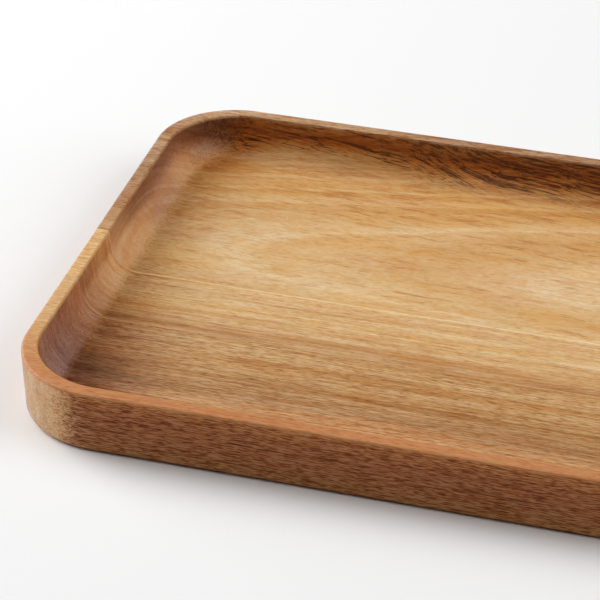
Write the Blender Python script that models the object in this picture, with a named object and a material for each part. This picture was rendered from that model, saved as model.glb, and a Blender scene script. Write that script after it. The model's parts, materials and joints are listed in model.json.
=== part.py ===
"""Serving tray of solid acacia: three edge-glued boards, machined as one blank into a shallow tray.

Metres, +Z up. The origin is the centre of the footprint, on the surface that the tray stands on.
The long side and the grain of every board run along X. The front of the tray faces -Y.

The blank is described as a stack of rounded-rectangle rings that run from the underside, up the
outer wall, over the rim and down into the well. Each board and each glue line is the slice of that
blank between two planes of constant Y, so all pieces share the tray's one surface.
"""
from math import cos, pi, radians, sin, tan

import bmesh
import bpy
from mathutils import Vector

# Outer shape
LENGTH = 0.300
WIDTH = 0.200
HEIGHT = 0.022
CORNER_RADIUS = 0.030         # plan radius of the outer wall at the rim
WALL_DRAFT = 0.0009           # the outer wall leans in by this much from rim to underside
FOOT_ROUND = 0.0023           # rounded edge between outer wall and underside

# Rim
RIM_WIDTH = 0.005
RIM_OUTER_ROUND = 0.0010
RIM_INNER_ROUND = 0.0005

# Well
FLOOR_THICKNESS = 0.007
WELL_CORNER_RADIUS = 0.0265   # plan radius of the well at the rim
WELL_WALL_LEAN = radians(7)   # the well's wall leans outwards by this angle towards the rim
WELL_FILLET = 0.010           # cove between the well's wall and its floor

# Boards and the joints between them, measured across the tray
REAR_JOINT_Y = -0.0020
FRONT_JOINT_Y = -0.0335
GLUE_THICKNESS = 0.0003
CLEARANCE = 0.0003            # air between a glue line and the board beside it

# Fineness of the rounded shapes
CORNER_STEPS = 14
COVE_STEPS = 10
FOOT_STEPS = 4
RIM_STEPS = 3

# Finishes: colour as eight-bit sRGB, then roughness
REAR_BOARD_FINISH = ((209, 166, 114), 0.42)
MIDDLE_BOARD_FINISH = ((205, 163, 112), 0.42)
FRONT_BOARD_FINISH = ((174, 128, 86), 0.44)
GLUE_FINISH = ((226, 197, 146), 0.50)


def clear_scene():
    """Remove every object that the file opened with."""
    for obj in list(bpy.data.objects):
        bpy.data.objects.remove(obj, do_unlink=True)


def linear(channel):
    """One eight-bit sRGB channel as a linear value."""
    value = channel / 255
    return value / 12.92 if value <= 0.04045 else ((value + 0.055) / 1.055) ** 2.4


def wood_finish(name, finish):
    """A Principled material of one colour and roughness."""
    colour, roughness = finish
    material = bpy.data.materials.new(name)
    material.use_nodes = True
    shader = material.node_tree.nodes["Principled BSDF"]
    shader.inputs["Base Color"].default_value = [linear(channel) for channel in colour] + [1.0]
    shader.inputs["Roughness"].default_value = roughness
    shader.inputs["Metallic"].default_value = 0.0
    return material


def arc(centre, radius, start, end, steps):
    """Points of a circular arc in the (inset, height) plane, from start to end in radians."""
    angles = [start + (end - start) * step / steps for step in range(steps + 1)]
    return [(centre[0] + radius * cos(angle), centre[1] + radius * sin(angle)) for angle in angles]


def outer_profile():
    """(inset, height) from the underside, round the foot, up the outer wall and on to the rim."""
    foot_centre = (WALL_DRAFT + FOOT_ROUND, FOOT_ROUND)
    rim_centre = (RIM_OUTER_ROUND, HEIGHT - RIM_OUTER_ROUND)
    foot = arc(foot_centre, FOOT_ROUND, -pi / 2, -pi, FOOT_STEPS)
    rim = arc(rim_centre, RIM_OUTER_ROUND, pi, pi / 2, RIM_STEPS)
    return foot + rim


def well_profile():
    """(inset, height) from the rim's inner edge, down the leaning wall and round the cove."""
    edge_centre = (RIM_WIDTH - RIM_INNER_ROUND, HEIGHT - RIM_INNER_ROUND)
    edge = arc(edge_centre, RIM_INNER_ROUND, pi / 2, WELL_WALL_LEAN, RIM_STEPS)
    cove_height = FLOOR_THICKNESS + WELL_FILLET
    wall_inset = edge[-1][0] + (edge[-1][1] - cove_height) * tan(WELL_WALL_LEAN)
    cove_centre = (wall_inset + WELL_FILLET / cos(WELL_WALL_LEAN), cove_height)
    cove = arc(cove_centre, WELL_FILLET, pi + WELL_WALL_LEAN, 3 * pi / 2, COVE_STEPS)
    return edge + cove


def ring(bm, inset, height, radius):
    """Vertices of one rounded rectangle, anticlockwise from the middle of the right-hand side."""
    half_x = LENGTH / 2 - inset - radius
    half_y = WIDTH / 2 - inset - radius
    vertices = []
    for quarter, (side_x, side_y) in enumerate(((1, 1), (-1, 1), (-1, -1), (1, -1))):
        for step in range(CORNER_STEPS + 1):
            angle = (quarter + step / CORNER_STEPS) * pi / 2
            x = side_x * half_x + radius * cos(angle)
            y = side_y * half_y + radius * sin(angle)
            vertices.append(bm.verts.new((x, y, height)))
    return vertices


def tray_blank():
    """The whole tray as one closed mesh, before it is divided into its boards."""
    bm = bmesh.new()
    rings = [ring(bm, inset, z, CORNER_RADIUS - inset) for inset, z in outer_profile()]
    rings += [ring(bm, inset, z, WELL_CORNER_RADIUS + RIM_WIDTH - inset) for inset, z in well_profile()]
    for lower, upper in zip(rings, rings[1:]):
        for index, vertex in enumerate(lower):
            following = (index + 1) % len(lower)
            bm.faces.new((vertex, lower[following], upper[following], upper[index]))
    bm.faces.new(reversed(rings[0]))
    bm.faces.new(rings[-1])
    bmesh.ops.recalc_face_normals(bm, faces=bm.faces)
    return bm


def cut_away(bm, y, direction):
    """Cut the mesh at a plane of constant y, drop what lies in that direction, and cap the cut."""
    geometry = bm.verts[:] + bm.edges[:] + bm.faces[:]
    cut = bmesh.ops.bisect_plane(bm, geom=geometry, plane_co=(0, y, 0), plane_no=(0, direction, 0),
                                 clear_outer=True)
    edges = [item for item in cut["geom_cut"] if isinstance(item, bmesh.types.BMEdge)]
    bmesh.ops.contextual_create(bm, geom=edges)


def tray_slice(name, front_y, back_y, finish, frame):
    """One piece of the tray between two planes of constant y, placed by its own location."""
    bm = tray_blank()
    if front_y > -WIDTH / 2:
        cut_away(bm, front_y, -1)
    if back_y < WIDTH / 2:
        cut_away(bm, back_y, 1)
    centre = Vector((0, (front_y + back_y) / 2, 0))
    bmesh.ops.translate(bm, verts=bm.verts, vec=-centre)
    bmesh.ops.recalc_face_normals(bm, faces=bm.faces)
    mesh = bpy.data.meshes.new(name)
    bm.to_mesh(mesh)
    bm.free()
    mesh.shade_smooth()
    mesh.set_sharp_from_angle(angle=radians(35))
    mesh.materials.append(wood_finish(name, finish))
    piece = bpy.data.objects.new(name, mesh)
    piece.location = centre
    piece.parent = frame
    bpy.context.collection.objects.link(piece)
    return piece


def board(name, front_joint, back_joint, finish, frame):
    """A board that stops half a glue line and its clearance short of each joint."""
    margin = GLUE_THICKNESS / 2 + CLEARANCE
    front_y = -WIDTH / 2 if front_joint is None else front_joint + margin
    back_y = WIDTH / 2 if back_joint is None else back_joint - margin
    return tray_slice(name, front_y, back_y, finish, frame)


def rear_board(frame):
    """The widest board, flat-sawn, behind the rear joint."""
    return board("rear_board", REAR_JOINT_Y, None, REAR_BOARD_FINISH, frame)


def middle_board(frame):
    """The narrow board between the two joints."""
    return board("middle_board", FRONT_JOINT_Y, REAR_JOINT_Y, MIDDLE_BOARD_FINISH, frame)


def front_board(frame):
    """The board in front of the front joint, with the tray's front wall."""
    return board("front_board", None, FRONT_JOINT_Y, FRONT_BOARD_FINISH, frame)


def glue_line(name, joint_y, frame):
    """The film of set wood glue in one joint, flush with the tray's surface all round."""
    half = GLUE_THICKNESS / 2
    return tray_slice(name, joint_y - half, joint_y + half, GLUE_FINISH, frame)


def main():
    clear_scene()
    frame = bpy.data.objects.new("serving_tray", None)
    bpy.context.collection.objects.link(frame)
    rear_board(frame)
    middle_board(frame)
    front_board(frame)
    glue_line("rear_glue_line", REAR_JOINT_Y, frame)
    glue_line("front_glue_line", FRONT_JOINT_Y, frame)
    bpy.context.view_layer.update()


main()
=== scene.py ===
"""Looks of the serving tray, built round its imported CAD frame: finer boards, wood, glue, studio and camera.

Everything is in metres in the row frame: +X along the grain, the front of the tray towards -Y.
"""
import json
from math import cos, pi, radians, sin, tan

import bmesh
import bpy
from mathutils import Matrix, Vector


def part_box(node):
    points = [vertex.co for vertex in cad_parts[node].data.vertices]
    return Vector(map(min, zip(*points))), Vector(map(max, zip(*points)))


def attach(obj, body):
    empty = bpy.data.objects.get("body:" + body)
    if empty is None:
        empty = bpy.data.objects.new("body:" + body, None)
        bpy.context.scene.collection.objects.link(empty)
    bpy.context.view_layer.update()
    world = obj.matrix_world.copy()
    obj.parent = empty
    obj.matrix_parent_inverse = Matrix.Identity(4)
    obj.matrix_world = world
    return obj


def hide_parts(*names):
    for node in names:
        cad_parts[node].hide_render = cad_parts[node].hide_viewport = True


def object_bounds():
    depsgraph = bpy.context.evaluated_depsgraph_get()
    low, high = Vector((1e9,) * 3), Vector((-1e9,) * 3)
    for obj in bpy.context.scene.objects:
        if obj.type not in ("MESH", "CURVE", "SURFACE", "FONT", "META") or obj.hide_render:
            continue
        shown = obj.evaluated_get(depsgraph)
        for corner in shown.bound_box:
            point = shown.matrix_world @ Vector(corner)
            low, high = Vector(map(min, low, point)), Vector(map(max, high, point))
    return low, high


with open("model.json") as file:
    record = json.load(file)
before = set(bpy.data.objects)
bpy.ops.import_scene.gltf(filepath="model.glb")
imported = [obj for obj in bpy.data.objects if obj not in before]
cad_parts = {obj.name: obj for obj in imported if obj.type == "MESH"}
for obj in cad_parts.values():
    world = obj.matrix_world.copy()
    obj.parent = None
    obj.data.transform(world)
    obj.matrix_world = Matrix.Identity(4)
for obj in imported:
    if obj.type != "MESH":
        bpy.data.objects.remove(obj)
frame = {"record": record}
cad_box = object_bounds()

# Camera: a long lens, from the front and a little to the right
CAMERA_AZIMUTH = radians(13.88)
CAMERA_ELEVATION = radians(31.71)
CAMERA_ROLL = radians(1.48)
CAMERA_LENS = 142.8           # mm, on a sensor of CAMERA_SENSOR mm
CAMERA_SENSOR = 36
CAMERA_DISTANCE = 4.128       # from its target, in widths of the tray
CAMERA_TARGET = (-0.2633, 0.0377, 0.0)   # on the ground, in lengths, widths and heights of the tray

# Sections of the tray that its box doesn't give
CORNER_RADIUS = 0.030
WALL_DRAFT = 0.0009
FOOT_ROUND = 0.0023
RIM_WIDTH = 0.005
RIM_OUTER_ROUND = 0.0010
RIM_INNER_ROUND = 0.0005
WELL_CORNER_RADIUS = 0.0265
WELL_WALL_LEAN = radians(7)
WELL_FILLET = 0.010

# Fineness of the rounded shapes
CORNER_STEPS = 28
COVE_STEPS = 20
FOOT_STEPS = 8
RIM_STEPS = 5
SUPPORT = 0.0004              # extra ring beside each flat, which keeps its shading flat
SHARP_ANGLE = radians(30)

low, high = cad_box
LENGTH, WIDTH, HEIGHT = high - low
FLOOR_Z = next(m["pos_m"][2] for m in frame["record"]["mounts"] if m["name"] == "well_floor")
REAR_JOINT = [corner.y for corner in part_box("rear_glue_line")]
FRONT_JOINT = [corner.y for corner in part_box("front_glue_line")]


# ---------------------------------------------------------------- camera

def direction(azimuth, elevation):
    """The unit vector from the tray towards a camera or a light; azimuth 0 is in front of the tray."""
    return Vector((sin(azimuth) * cos(elevation), -cos(azimuth) * cos(elevation), sin(elevation)))


def add_camera():
    """A camera that looks at its target from the photograph's direction."""
    back = direction(CAMERA_AZIMUTH, CAMERA_ELEVATION)
    right = Vector((0, 0, 1)).cross(back).normalized()
    up = back.cross(right)
    turned_right = cos(CAMERA_ROLL) * right + sin(CAMERA_ROLL) * up
    turned_up = cos(CAMERA_ROLL) * up - sin(CAMERA_ROLL) * right
    target = Vector(part * size for part, size in zip(CAMERA_TARGET, (LENGTH, WIDTH, HEIGHT)))
    place = target + back * CAMERA_DISTANCE * WIDTH
    data = bpy.data.cameras.new("camera")
    data.lens = CAMERA_LENS
    data.sensor_width = CAMERA_SENSOR
    camera = bpy.data.objects.new("camera", data)
    axes = Matrix((turned_right, turned_up, back)).transposed().to_4x4()
    camera.matrix_world = Matrix.Translation(place) @ axes
    bpy.context.scene.collection.objects.link(camera)
    bpy.context.scene.camera = camera


add_camera()


# ---------------------------------------------------------------- node graphs

def linear(channel):
    """One eight-bit sRGB channel as a linear value."""
    value = channel / 255
    return value / 12.92 if value <= 0.04045 else ((value + 0.055) / 1.055) ** 2.4


def rgba(colour):
    """An eight-bit sRGB colour as the linear RGBA that sockets take."""
    return [linear(channel) for channel in colour] + [1.0]


class Graph:
    """The node tree of one new material, with short calls that each add a node and return its output."""

    def __init__(self, name):
        self.material = bpy.data.materials.new(name)
        self.material.use_nodes = True
        self.tree = self.material.node_tree
        self.shader = self.tree.nodes["Principled BSDF"]

    def feed(self, socket, value):
        """Link an output to a socket, or set the socket's own value."""
        if isinstance(value, bpy.types.NodeSocket):
            self.tree.links.new(value, socket)
        else:
            socket.default_value = value

    def add(self, kind, inputs, **settings):
        """A node of a kind, with its settings and with its inputs fed by name or number."""
        node = self.tree.nodes.new(kind)
        for key, value in settings.items():
            setattr(node, key, value)
        for key, value in inputs.items():
            self.feed(node.inputs[key], value)
        return node

    def math(self, operation, *values):
        return self.add("ShaderNodeMath", dict(enumerate(values)), operation=operation).outputs[0]

    def vector_math(self, operation, *values):
        return self.add("ShaderNodeVectorMath", dict(enumerate(values)), operation=operation).outputs[0]

    def combine(self, x, y, z):
        return self.add("ShaderNodeCombineXYZ", {0: x, 1: y, 2: z}).outputs[0]

    def separate(self, vector):
        return self.add("ShaderNodeSeparateXYZ", {0: vector}).outputs

    def power(self, colour, exponent):
        """A colour raised to a power, channel by channel."""
        return self.add("ShaderNodeGamma", {"Color": colour, "Gamma": exponent}).outputs[0]

    def noise(self, vector, detail, roughness=0.5):
        """Fractal noise from 0 to 1 of a position, with cells of size 1."""
        inputs = {"Vector": vector, "Scale": 1.0, "Detail": detail, "Roughness": roughness}
        return self.add("ShaderNodeTexNoise", inputs).outputs["Fac"]

    def line_noise(self, value, scale, detail, roughness):
        """Fractal noise from 0 to 1 of one number."""
        inputs = {"W": value, "Scale": scale, "Detail": detail, "Roughness": roughness}
        return self.add("ShaderNodeTexNoise", inputs, noise_dimensions="1D").outputs["Fac"]

    def rise(self, value, start, end):
        """0 below start and 1 above end, with a smooth step between; start may be the larger."""
        inputs = {"Value": value, "From Min": start, "From Max": end}
        return self.add("ShaderNodeMapRange", inputs, interpolation_type="SMOOTHSTEP").outputs[0]

    def spread(self, value, start, end, low_value, high_value):
        """A straight, clamped map from one range to another."""
        inputs = {0: value, 1: start, 2: end, 3: low_value, 4: high_value}
        return self.add("ShaderNodeMapRange", inputs).outputs[0]

    def mix(self, share, first, second, blend="MIX"):
        """A blend of two colours."""
        node = self.add("ShaderNodeMix", {0: share}, data_type="RGBA", blend_type=blend)
        first_input, second_input = [socket for socket in node.inputs if socket.type == "RGBA"]
        self.feed(first_input, first)
        self.feed(second_input, second)
        return next(socket for socket in node.outputs if socket.type == "RGBA")

    def ramp(self, value, stops):
        """A colour ramp from (position, sRGB colour) stops."""
        node = self.add("ShaderNodeValToRGB", {0: value})
        elements = node.color_ramp.elements
        while len(elements) < len(stops):
            elements.new(1.0)
        for element, (position, colour) in zip(elements, stops):
            element.position = position
            element.color = rgba(colour)
        return node.outputs[0]


def flat_material(name, colour, roughness):
    """A plain material, for what isn't part of the tray."""
    graph = Graph(name)
    graph.shader.inputs["Base Color"].default_value = rgba(colour)
    graph.shader.inputs["Roughness"].default_value = roughness
    return graph.material


# ---------------------------------------------------------------- wood

MM = 1000                        # to a metre: the wood is drawn in millimetres
HALF_LENGTH = LENGTH / 2 * MM

# Between which values one kind of surface turns into the next
END_GRAIN_TURN = (0.12, 0.50)    # the normal's x, from long grain to end grain
OUTER_SIDE = (10, 40)            # mm from the tray's middle along the normal, from the well to the outer side
RIM_HEIGHT = (20.6, 21.5)        # mm of height, from a wall to the rim
END_DISTANCE = (38, 12)          # mm from the ends of the tray, over which the colour deepens: partly the wood's own tone, partly painted shade near the end walls
SEALED_DISTANCE = (0.60, 0.25)   # mm from the middle of a joint, over which its glue has sealed the wood

# How far the pale side of the figure goes, because the oil evens it out
PALE_LIMIT = -0.12
PALE_LIMIT_TOGETHER = -0.13
PALE_LIMIT_OF_LINES = -0.09

# sRGB colours that more than one board uses
OUTER_END_GRAIN = (186, 142, 104)
SEALED_WOOD = (234, 202, 150)
YELLOW_TINGE = (255, 238, 214)


class Wood(Graph):
    """Solid acacia, drawn in millimetres of the row frame with its grain along x.

    A board lays colours over each other by zones and masks.
    """

    def __init__(self, name, seed, wander, fibre_length=3.3):
        super().__init__(name)
        self.seed = seed
        coordinates = self.add("ShaderNodeTexCoord", {})
        place = self.vector_math("MULTIPLY", coordinates.outputs["Object"], (MM, MM, MM))
        self.x, self.y, self.z = self.separate(place)
        normal_x, normal_y = self.separate(coordinates.outputs["Normal"])[:2]
        self.bent_y = self.bend(self.y, wander, seed)
        self.bent_z = self.bend(self.z, wander / 2, seed + 50)

        # Figure, from coarse to fine
        self.mottle = self.noise(self.along(0.045, 0.13), detail=2, roughness=0.7)
        self.streaks = self.noise(self.along(0.055, 0.27), detail=4, roughness=0.9)
        self.lines = self.noise(self.upright(0.006, 0.33, 0.07), detail=4, roughness=0.9)
        self.tinges = self.noise(self.along(0.08, 0.45), detail=2, roughness=0.8)
        self.hairlines = self.rise(self.noise(self.along(0.020, 1.25), detail=1), 0.59, 0.66)
        self.pores = self.rise(self.noise(self.along(0.28, 1.9), detail=1), 0.60, 0.70)
        self.fibres = self.noise(self.along(1 / fibre_length, 2.9), detail=1, roughness=0.8)

        # Masks of the tray's surfaces
        self.turned = self.math("ABSOLUTE", normal_x)
        self.end_grain = self.rise(self.turned, *END_GRAIN_TURN)
        self.rim = self.rise(self.z, *RIM_HEIGHT)
        outward = self.total(self.product(normal_x, self.x), self.product(normal_y, self.y))
        self.outside = self.rise(outward, *OUTER_SIDE)
        # Towards the ends the colour deepens: partly the wood's own tone, partly painted shade near the end
        # walls
        start, end = [HALF_LENGTH - distance for distance in END_DISTANCE]
        beyond = self.rise(self.math("ABSOLUTE", self.x), start, end)
        self.near_end = self.product(beyond, self.rise(self.rim, 1, 0))

    def total(self, *parts):
        """The sum of numbers and outputs."""
        value = parts[0]
        for part in parts[1:]:
            value = self.math("ADD", value, part)
        return value

    def product(self, *parts):
        """The product of numbers and outputs."""
        value = parts[0]
        for part in parts[1:]:
            value = self.math("MULTIPLY", value, part)
        return value

    def scaled(self, value, factor, base=1.0):
        """A base plus a factor times a value."""
        return self.math("MULTIPLY_ADD", value, factor, base)

    def swing(self, noise, amount):
        """Noise turned into a value that swings evenly about nothing."""
        return self.scaled(noise, amount, -amount / 2)

    def bend(self, value, amount, seed):
        """A coordinate across the grain, moved gently from side to side along the board."""
        place = self.combine(self.scaled(self.x, 0.014, seed),
                             self.product(self.y, 0.028), self.product(self.z, 0.03))
        return self.math("ADD", value, self.swing(self.noise(place, detail=3, roughness=0.6), 4 * amount))

    def along(self, along_grain, across_grain, dip=0.0):
        """A position stretched along the grain, in noise cells per millimetre, after a dip of the grain."""
        return self.combine(self.scaled(self.x, along_grain, self.seed),
                            self.product(self.total(self.bent_y, dip), across_grain),
                            self.product(self.total(self.bent_z, dip), across_grain))

    def upright(self, along_grain, across_layers, up):
        """A position stretched along the grain and upwards, as in layers that stand on edge."""
        return self.combine(self.scaled(self.x, along_grain, self.seed),
                            self.product(self.bent_y, across_layers), self.product(self.bent_z, up))

    def zones(self, value, stops):
        """Colours at places along a coordinate, in millimetres, blended between."""
        start, end = stops[0][0], stops[-1][0]
        share = self.spread(value, start, end, 0.0, 1.0)
        return self.ramp(share, [((place - start) / (end - start), colour) for place, colour in stops])

    def cover(self, colour, mask, over):
        """A colour with another laid over it where the mask says."""
        over = rgba(over) if isinstance(over, tuple) else over
        return self.mix(mask, colour, over)

    def stain(self, colour, mask, tint):
        """A colour multiplied by a tint where the mask says: for stains in the wood, and in places for
        painted shade and light.
        """
        return self.mix(mask, colour, (*tint, 1.0), blend="MULTIPLY")

    def seal(self, colour, joint):
        """A colour that is paler within half a millimetre of a joint, where glue has filled the pores."""
        away = self.math("ABSOLUTE", self.math("SUBTRACT", self.y, sum(joint) / 2 * MM))
        return self.cover(colour, self.product(self.rise(away, *SEALED_DISTANCE), 0.55), SEALED_WOOD)

    def long_lines(self, amount):
        """How far the long lines of the grain deepen the colour; their pale side is held back."""
        return self.math("MAXIMUM", self.swing(self.lines, -amount), PALE_LIMIT_OF_LINES * amount)

    def finish(self, colour, ink, depth, grain, coarse, roughness=0.42, gloss=0.35):
        """Grain in an ink over the colour, and the satin sheen and fine relief of the oiled surface.

        depth is the power that deepens the colour, grain the strength of the figure, and coarse the
        share of its streaks and mottle beside its fibres and pores.
        """
        streaks = self.math("MAXIMUM", self.swing(self.streaks, -1.7), PALE_LIMIT)
        fibres = self.math("MAXIMUM", self.swing(self.fibres, -2.0), PALE_LIMIT)
        broad = self.total(-0.08, streaks, self.swing(self.mottle, -0.5))
        fine = self.total(fibres, self.product(self.pores, 0.20), self.product(self.hairlines, 0.16))
        figure = self.total(self.product(broad, coarse), fine)
        figure = self.math("MAXIMUM", figure, PALE_LIMIT_TOGETHER)
        strength = self.product(grain, self.scaled(self.end_grain, -0.6), self.scaled(self.rim, 0.7),
                                self.scaled(self.near_end, 0.6))
        shade = self.power(ink, self.product(figure, strength))
        tinge = self.power(rgba(YELLOW_TINGE), self.swing(self.tinges, 1.8))
        shaded = self.mix(1.0, self.power(colour, depth), shade, blend="MULTIPLY")
        self.feed(self.shader.inputs["Base Color"], self.mix(1.0, shaded, tinge, blend="MULTIPLY"))
        sheen = self.total(roughness, self.swing(self.fibres, -0.25), self.product(self.pores, 0.15))
        self.feed(self.shader.inputs["Roughness"], sheen)
        self.shader.inputs["Specular IOR Level"].default_value = gloss
        relief = self.total(self.product(self.fibres, 0.6), self.product(self.pores, -0.6),
                            self.product(self.streaks, 0.4))
        bump = self.add("ShaderNodeBump", {"Height": relief, "Strength": 0.5, "Distance": 0.0002})
        self.feed(self.shader.inputs["Normal"], bump.outputs[0])
        return self.material


# ---------------------------------------------------------------- rear board

def growth_rings(wood):
    """Noise in tapering rings about a pith that lies below the board: nested loops on the floor."""
    pith_y = wood.scaled(wood.x, 0.10, 34)
    across = wood.math("SUBTRACT", wood.bent_y, pith_y)
    above_pith = wood.math("ADD", wood.bent_z, 62)
    radius = wood.math("SQRT", wood.total(wood.product(across, across),
                                          wood.product(above_pith, above_pith)))
    ring = wood.math("MULTIPLY_ADD", wood.x, -0.075, radius)
    return wood.line_noise(ring, scale=0.20, detail=4, roughness=0.7)


def rear_floor(wood):
    """Pale wood with golden and pinkish drifts, deeper and with more brown dashes towards the back."""
    colour = wood.zones(wood.bent_y, [(0, (213, 173, 121)), (12, (218, 180, 128)), (30, (215, 174, 121)),
                                      (50, (213, 171, 117)), (66, (210, 165, 107)), (80, (206, 158, 96)),
                                      (94, (196, 146, 86))])
    drift = wood.noise(wood.along(0.022, 0.075), detail=3, roughness=0.6)
    colour = wood.stain(colour, wood.rise(drift, 0.50, 0.64), (1.0, 0.93, 0.80))
    colour = wood.stain(colour, wood.rise(drift, 0.48, 0.36), (1.0, 0.96, 1.0))
    colour = wood.seal(colour, REAR_JOINT)
    slant = wood.product(wood.x, 0.05)
    dashes = wood.noise(wood.along(0.042, 0.52, slant), detail=3, roughness=0.75)
    closer = wood.product(wood.rise(wood.y, 30, 82), 0.07)
    dashes = wood.rise(wood.total(dashes, closer), 0.58, 0.70)
    return wood.cover(colour, wood.product(dashes, 0.7), (182, 124, 68))


def rear_end_grain(wood):
    """End grain, pinkish with the oil that it soaks up, browner in the middle of each end wall, and paler low
    down in the cove, which is painted light.
    """
    # Paler low down, where the cove faces up: painted light
    colour = wood.zones(wood.z, [(8, (234, 192, 147)), (13, (227, 186, 145)), (17, (206, 161, 124))])
    browner = wood.product(wood.rise(wood.y, 22, 42), wood.rise(wood.y, 74, 52))
    colour = wood.stain(colour, browner, (0.84, 0.82, 0.92))
    return wood.cover(colour, wood.outside, OUTER_END_GRAIN)


def sinking(wood):
    """How far the grain sinks along the rear wall, in millimetres: gently, then steeply, then gently."""
    return wood.total(wood.product(wood.x, 0.09), wood.product(wood.rise(wood.x, -64, -24), 5.5))


def heart_layer(wood, right, corner):
    """Where the wood is heartwood: above a ragged level that sinks towards the right of the rear wall."""
    rear = wood.rise(wood.y, 74, 90)
    level = wood.total(14.8, wood.product(wood.rise(wood.y, 27, 0), 10), wood.product(corner, -4),
                       wood.product(rear, wood.scaled(right, -4.5, -1.8)))
    ragged = wood.noise(wood.along(0.022, 0.6, sinking(wood)), detail=3, roughness=0.75)
    even_ends = wood.scaled(wood.end_grain, -0.75)
    above = wood.total(wood.bent_z, wood.product(wood.swing(ragged, 16), even_ends),
                       wood.product(level, -1))
    return wood.rise(wood.product(above, even_ends), -2.5, 3.0)


def heartwood(wood, right, corner):
    """Dark orange brown, duller where it turns into end grain, and darker towards the right."""
    colour = wood.zones(wood.z, [(10, (212, 140, 68)), (14, (190, 113, 45)), (17, (161, 88, 29)),
                                 (20.5, (182, 117, 56))])
    dull = wood.product(wood.rise(wood.turned, 0.10, 0.50), corner, 0.75)
    colour = wood.cover(colour, dull, (126, 86, 52))
    colour = wood.cover(colour, wood.rise(wood.turned, 0.80, 1.0), (146, 101, 72))
    return wood.stain(colour, right, (0.80, 0.80, 0.88))


def rear_rim(wood, right):
    """Brown, paler towards the back, and darker on the right, where the darkening is painted shade, as the
    light falls from the left.
    """
    colour = wood.zones(wood.y, [(2, (184, 134, 86)), (12, (171, 121, 75)), (24, (164, 112, 71)),
                                 (44, (173, 130, 92)), (92, (183, 139, 97))])
    # Darker on the right: painted shade
    return wood.stain(colour, right, (0.82, 0.76, 0.76))


def black_streaks(wood, right, heart):
    """Where near-black streaks run down to the right along the rear wall and level out."""
    wall = wood.product(wood.rise(wood.total(wood.y, wood.product(wood.z, 0.4)), 89, 96),
                        wood.rise(wood.rim, 0.7, 0.2))
    lines = wood.noise(wood.along(0.020, 0.95, sinking(wood)), detail=3, roughness=0.85)
    denser = wood.total(wood.product(heart, 0.09), wood.product(right, 0.04),
                        wood.product(wood.rise(wood.turned, 0.15, 0.45), 0.05), -0.07)
    streaks = wood.rise(wood.total(lines, denser), 0.52, 0.61)
    fainter = wood.scaled(wood.rise(wood.turned, 0.15, 0.35), -0.33, 0.84)
    return wood.product(streaks, wall, wood.rise(wood.turned, 1.0, 0.75), fainter)


def rear_board_acacia():
    """Flat-sawn: pale wood with faint nested loops on the floor, under a top layer of dark heartwood."""
    wood = Wood("rear_board_acacia", seed=3.0, wander=2.2)
    right = wood.rise(wood.x, -85, -32)
    corner = wood.product(wood.rise(wood.x, -106, -126), wood.rise(wood.y, 64, 84))
    colour = wood.cover(rear_floor(wood), wood.end_grain, rear_end_grain(wood))
    # Painted shade: the floor in the rear left corner is darker and more orange, as the heartwood walls round
    # it shade it and cast their colour on it
    colour = wood.stain(colour, corner, (0.95, 0.82, 0.66))
    heart = heart_layer(wood, right, corner)
    colour = wood.cover(colour, heart, heartwood(wood, right, corner))
    colour = wood.cover(colour, wood.rim, rear_rim(wood, right))
    colour = wood.cover(colour, black_streaks(wood, right, heart), (70, 32, 13))
    # Deeper towards the ends: partly the wood's tone, partly painted shade near the end walls
    depth = wood.total(1.0, wood.swing(growth_rings(wood), -1.0), wood.product(wood.near_end, 0.32))
    grain = wood.total(0.8, wood.product(heart, wood.scaled(wood.end_grain, 2.0, 0.65)))
    return wood.finish(colour, rgba((212, 170, 122)), depth, grain, coarse=0.85)


# ---------------------------------------------------------------- middle board

def middle_floor(wood):
    """Pale wood in streaky bands, browner towards the front joint, and darker towards the left end, partly in
    the wood's own tone and partly as painted shade of the left end wall.
    """
    streaked_y = wood.total(wood.bent_y, wood.swing(wood.streaks, 14))
    colour = wood.zones(streaked_y, [(-34, (187, 142, 96)), (-28, (198, 153, 103)), (-22, (209, 167, 115)),
                                     (-15, (217, 180, 129)), (-8, (213, 172, 121)), (-2, (219, 180, 129))])
    drift = wood.noise(wood.along(0.014, 0.22), detail=3, roughness=0.6)
    colour = wood.stain(colour, wood.rise(drift, 0.50, 0.66), (1.0, 0.95, 0.86))
    # Darker towards the left end: partly the wood's tone, partly painted shade of the left end wall
    return wood.stain(colour, wood.rise(wood.x, -100, -126), (0.92, 0.86, 0.77))


def middle_end_grain(wood):
    """End grain, browner towards the front joint, and paler low down in the cove, which is painted light."""
    # Paler low down, where the cove faces up: painted light
    colour = wood.zones(wood.z, [(8, (232, 189, 141)), (13, (224, 180, 134)), (16, (203, 152, 104)),
                                 (20, (212, 163, 113))])
    colour = wood.stain(colour, wood.rise(wood.y, -6, -36), (0.75, 0.69, 0.76))
    return wood.cover(colour, wood.outside, OUTER_END_GRAIN)


def middle_board_acacia():
    """Straight-grained and pale, with fine even lines, browner towards the front joint."""
    wood = Wood("middle_board_acacia", seed=11.0, wander=0.5)
    colour = wood.cover(middle_floor(wood), wood.end_grain, middle_end_grain(wood))
    colour = wood.cover(colour, wood.rim, (220, 176, 121))
    colour = wood.seal(colour, REAR_JOINT)
    half_on_rim = wood.rise(wood.rim, 2.0, 0.0)
    # Deeper towards the ends: partly the wood's tone, partly painted shade near the end walls
    depth = wood.total(1.0, wood.product(wood.long_lines(2.5), half_on_rim),
                       wood.product(wood.near_end, 0.32))
    return wood.finish(colour, rgba((205, 170, 140)), depth, grain=1.0, coarse=0.35)


# ---------------------------------------------------------------- front board

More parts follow.
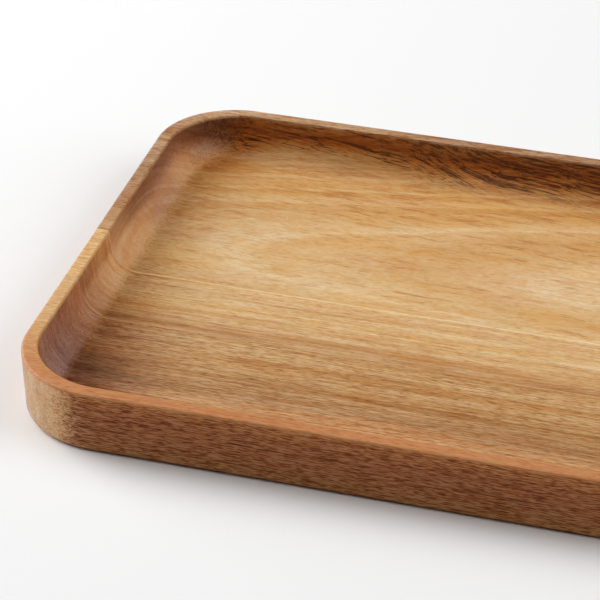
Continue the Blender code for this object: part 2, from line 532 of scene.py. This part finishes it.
def front_floor(wood):
    """Brown wood in bands along the grain, darker towards the left end, partly in the wood's own tone and
    partly as painted shade of the left end wall.
    """
    colour = wood.zones(wood.bent_y, [(-78, (194, 144, 96)), (-73, (188, 139, 93)), (-66, (171, 127, 84)),
                                      (-58, (176, 131, 84)), (-46, (190, 145, 95)), (-34, (190, 146, 96))])
    drift = wood.noise(wood.along(0.016, 0.16), detail=3, roughness=0.6)
    colour = wood.stain(colour, wood.rise(drift, 0.50, 0.64), (1.0, 0.90, 0.80))
    # Darker towards the left end: partly the wood's tone, partly painted shade of the left end wall
    return wood.stain(colour, wood.rise(wood.x, -96, -124), (0.84, 0.78, 0.80))


def front_end_walls(wood):
    """The end grain inside the tray, purple grey towards the front corner and paler and greyer low down:
    partly the wood's own purple brown, partly a painted sheen of the white surroundings.
    """
    # Painted sheen, in part: the grey towards the corner and low down stands for the white surroundings
    # reflected at a grazing angle
    colour = wood.zones(wood.y, [(-70, (187, 152, 138)), (-54, (178, 138, 118)), (-38, (197, 151, 118))])
    return wood.stain(colour, wood.rise(wood.z, 9, 19), (1.0, 0.90, 0.80))


def purple_corner(wood):
    """Where the front left corner of the well is darker and purple, with a ragged edge along the grain:
    partly a dark stain in the wood, partly painted shade of the corner.
    """
    ragged_x = wood.total(wood.x, wood.swing(wood.streaks, 30))
    return wood.product(wood.rise(ragged_x, -102, -130), wood.rise(wood.bent_y, -48, -64),
                        wood.rise(wood.z, 18, 8), wood.scaled(wood.end_grain, -0.6))


def front_outer_side(wood, facing):
    """The outer side: golden at its lower and upper edges, and pale and greyer round the left corner, where
    it turns into end grain: partly the end grain's colour, partly a painted reflection of the white
    surroundings at a grazing angle.
    """
    long_grain = wood.zones(wood.bent_z, [(0, (180, 119, 62)), (4, (166, 106, 57)), (9, (161, 96, 49)),
                                          (16, (163, 96, 49)), (20, (180, 110, 56))])
    # Round the corner the colour is partly a painted reflection of the white surroundings
    end_grain = wood.ramp(wood.turned, [(0.30, (218, 171, 122)), (0.80, (190, 156, 121)),
                                        (1.0, (170, 122, 84))])
    return wood.mix(wood.rise(facing, 0.46, 0.02), end_grain, long_grain)


def front_rim(wood):
    """Yellow along the ends, and orange along the front."""
    return wood.zones(wood.bent_y, [(-92, (192, 130, 82)), (-74, (203, 150, 101)), (-60, (212, 168, 117))])


def front_board_acacia():
    """Brown and dense, with a paler orange rim and a dark reddish face along the front."""
    wood = Wood("front_board_acacia", seed=23.0, wander=0.7, fibre_length=3.9)
    facing = wood.total(wood.turned, wood.swing(wood.streaks, 0.25), wood.swing(wood.fibres, 0.3))
    colour = wood.cover(front_floor(wood), wood.end_grain, front_end_walls(wood))
    # Darker and purple in the front left corner: partly a stain in the wood, partly painted shade
    colour = wood.stain(colour, purple_corner(wood), (0.76, 0.74, 0.83))
    colour = wood.cover(colour, wood.outside, front_outer_side(wood, facing))
    colour = wood.cover(colour, wood.rim, front_rim(wood))
    inside = wood.product(wood.rise(wood.outside, 0.5, 0), wood.rise(wood.rim, 1, 0.5))
    lined = wood.math("MAXIMUM", inside, wood.product(wood.end_grain, 0.7))
    # Deeper towards the ends: partly the wood's tone, partly painted shade near the end walls
    depth = wood.total(1.0, wood.product(wood.long_lines(1.9), lined),
                       wood.product(wood.near_end, 0.36, inside))

    # The long grain of the outer side is dense: its figure is strong and fine, in a browner ink
    dense = wood.product(wood.outside, wood.rise(facing, 0.25, 0.0), wood.rise(wood.rim, 1, 0))
    grain = wood.total(1.8, wood.product(dense, 2.4), wood.product(wood.rim, -1.2))
    coarse = wood.scaled(dense, -0.35, 0.42)
    ink = wood.mix(dense, rgba((202, 172, 148)), rgba((203, 176, 131)))
    return wood.finish(colour, ink, depth, grain, coarse, roughness=0.46, gloss=0.18)


# ---------------------------------------------------------------- glue

GLUE_CELLS = (60, 900, 900)      # per metre, so that its stain is drawn out along the joint
GLUE_STAIN = (0.3, 0.7)          # the noise's values between which it goes from none to full


def set_glue(name, colour, end_colour):
    """Set wood glue, sanded flush: pale, darker on the end walls, and stained unevenly by the oil."""
    graph = Graph(name)
    coordinates = graph.add("ShaderNodeTexCoord", {})
    place = graph.vector_math("MULTIPLY", coordinates.outputs["Object"], GLUE_CELLS)
    turned = graph.math("ABSOLUTE", graph.separate(coordinates.outputs["Normal"])[0])
    colour = graph.mix(graph.rise(turned, *END_GRAIN_TURN), rgba(colour), rgba(end_colour))
    stain = graph.noise(place, detail=3)
    shade = graph.power(colour, graph.spread(stain, *GLUE_STAIN, 1.25, 0.85))
    graph.feed(graph.shader.inputs["Base Color"], shade)
    graph.feed(graph.shader.inputs["Roughness"], graph.spread(stain, *GLUE_STAIN, 0.42, 0.55))
    bump = graph.add("ShaderNodeBump", {"Height": stain, "Strength": 0.2, "Distance": 0.0001})
    graph.feed(graph.shader.inputs["Normal"], bump.outputs[0])
    return graph.material


# ---------------------------------------------------------------- shape

def arc(centre, radius, start, end, steps):
    """Points of a circular arc in the (inset, height) plane, from start to end in radians."""
    angles = [start + (end - start) * step / steps for step in range(steps + 1)]
    return [(centre[0] + radius * cos(angle), centre[1] + radius * sin(angle)) for angle in angles]


def outer_profile():
    """(inset, height) from the underside, round the foot, up the outer wall and on to the rim."""
    foot_centre = (WALL_DRAFT + FOOT_ROUND, FOOT_ROUND)
    rim_centre = (RIM_OUTER_ROUND, HEIGHT - RIM_OUTER_ROUND)
    foot = arc(foot_centre, FOOT_ROUND, -pi / 2, -pi, FOOT_STEPS)
    rim = arc(rim_centre, RIM_OUTER_ROUND, pi, pi / 2, RIM_STEPS)
    return [(foot[0][0] + SUPPORT, 0.0)] + foot + rim + [(rim[-1][0] + SUPPORT, HEIGHT)]


def well_profile():
    """(inset, height) from the rim's inner edge, down the leaning wall and round the cove."""
    edge_centre = (RIM_WIDTH - RIM_INNER_ROUND, HEIGHT - RIM_INNER_ROUND)
    edge = arc(edge_centre, RIM_INNER_ROUND, pi / 2, WELL_WALL_LEAN, RIM_STEPS)
    cove_height = FLOOR_Z + WELL_FILLET
    wall_inset = edge[-1][0] + (edge[-1][1] - cove_height) * tan(WELL_WALL_LEAN)
    cove_centre = (wall_inset + WELL_FILLET / cos(WELL_WALL_LEAN), cove_height)
    cove = arc(cove_centre, WELL_FILLET, pi + WELL_WALL_LEAN, 3 * pi / 2, COVE_STEPS)
    return [(edge[0][0] - SUPPORT, HEIGHT)] + edge + cove + [(cove[-1][0] + SUPPORT, FLOOR_Z)]


def ring(bm, inset, height, radius):
    """Vertices of one rounded rectangle, anticlockwise from where its right side meets the rear corner."""
    half_x = LENGTH / 2 - inset - radius
    half_y = WIDTH / 2 - inset - radius
    vertices = []
    for quarter, (side_x, side_y) in enumerate(((1, 1), (-1, 1), (-1, -1), (1, -1))):
        for step in range(CORNER_STEPS + 1):
            angle = (quarter + step / CORNER_STEPS) * pi / 2
            x = side_x * half_x + radius * cos(angle)
            y = side_y * half_y + radius * sin(angle)
            vertices.append(bm.verts.new((x, y, height)))
    return vertices


def tray_blank():
    """The whole tray as one closed mesh, before it is divided into its boards."""
    bm = bmesh.new()
    rings = [ring(bm, inset, z, CORNER_RADIUS - inset) for inset, z in outer_profile()]
    rings += [ring(bm, inset, z, WELL_CORNER_RADIUS + RIM_WIDTH - inset) for inset, z in well_profile()]
    for lower, upper in zip(rings, rings[1:]):
        for index, vertex in enumerate(lower):
            following = (index + 1) % len(lower)
            bm.faces.new((vertex, lower[following], upper[following], upper[index]))
    bm.faces.new(reversed(rings[0]))
    bm.faces.new(rings[-1])
    bmesh.ops.recalc_face_normals(bm, faces=bm.faces)
    return bm


def cut_away(bm, y, direction):
    """Cut the mesh at a plane of constant y, drop what lies in that direction, and cap the cut."""
    geometry = bm.verts[:] + bm.edges[:] + bm.faces[:]
    cut = bmesh.ops.bisect_plane(bm, geom=geometry, plane_co=(0, y, 0), plane_no=(0, direction, 0),
                                 clear_outer=True)
    edges = [item for item in cut["geom_cut"] if isinstance(item, bmesh.types.BMEdge)]
    bmesh.ops.contextual_create(bm, geom=edges)


def add_slice(name, node, front_y, back_y, material):
    """The slice of the tray between two planes of constant y, which stands for a CAD node."""
    bm = tray_blank()
    if front_y > low.y:
        cut_away(bm, front_y, -1)
    if back_y < high.y:
        cut_away(bm, back_y, 1)
    bmesh.ops.recalc_face_normals(bm, faces=bm.faces)
    mesh = bpy.data.meshes.new(name)
    bm.to_mesh(mesh)
    bm.free()
    mesh.shade_smooth()
    mesh.set_sharp_from_angle(angle=SHARP_ANGLE)
    mesh.materials.append(material)
    piece = bpy.data.objects.new(name, mesh)
    bpy.context.scene.collection.objects.link(piece)
    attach(piece, "root")
    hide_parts(node)
    return piece


# ---------------------------------------------------------------- pieces

rear = add_slice("rear_board_wood", "rear_board", REAR_JOINT[1], high.y,
                 rear_board_acacia())
middle = add_slice("middle_board_wood", "middle_board", FRONT_JOINT[1], REAR_JOINT[0],
                   middle_board_acacia())
front = add_slice("front_board_wood", "front_board", low.y, FRONT_JOINT[0],
                  front_board_acacia())
rear_glue = add_slice("rear_glue_film", "rear_glue_line", *REAR_JOINT,
                      set_glue("rear_joint_glue", (234, 204, 154), (222, 180, 130)))
front_glue = add_slice("front_glue_film", "front_glue_line", *FRONT_JOINT,
                       set_glue("front_joint_glue", (204, 160, 110), (148, 102, 72)))


# ---------------------------------------------------------------- studio

GROUND_HALF = 12.0            # from the middle of the ground to its sides
LIGHT_DISTANCE = 2.2
LIGHT_SIZE = 2.0
WORLD_STRENGTH = 0.04

# Name, azimuth and elevation in degrees, and power in watts
LIGHTS = [("key", 260, 25, 60.0), ("high_key", 240, 60, 14.0),
          ("right_fill", 90, 35, 27.0), ("high_fill", 120, 55, 6.0)]


def add_ground():
    """A flat sheet of white paper, far larger than the view."""
    mesh = bpy.data.meshes.new("ground")
    corners = [(x * GROUND_HALF, y * GROUND_HALF, 0) for x, y in ((-1, -1), (1, -1), (1, 1), (-1, 1))]
    mesh.from_pydata(corners, [], [(0, 1, 2, 3)])
    mesh.materials.append(flat_material("white_paper", (240, 240, 240), 0.9))
    ground = bpy.data.objects.new("ground", mesh)
    bpy.context.scene.collection.objects.link(ground)


def add_light(name, azimuth, elevation, power):
    """A round soft light, aimed at the middle of the tray."""
    back = direction(radians(azimuth), radians(elevation))
    data = bpy.data.lights.new(name, "AREA")
    data.shape = "DISK"
    data.size = LIGHT_SIZE
    data.energy = power
    light = bpy.data.objects.new(name, data)
    turn = back.to_track_quat("Z", "Y").to_matrix().to_4x4()
    light.matrix_world = Matrix.Translation(back * LIGHT_DISTANCE) @ turn
    bpy.context.scene.collection.objects.link(light)


def set_world():
    """A weak white light from all round."""
    world = bpy.data.worlds.new("studio")
    world.use_nodes = True
    background = world.node_tree.nodes["Background"]
    background.inputs["Color"].default_value = (1, 1, 1, 1)
    background.inputs["Strength"].default_value = WORLD_STRENGTH
    bpy.context.scene.world = world


add_ground()
for light in LIGHTS:
    add_light(*light)
set_world()
bpy.context.scene.view_settings.view_transform = "Standard"
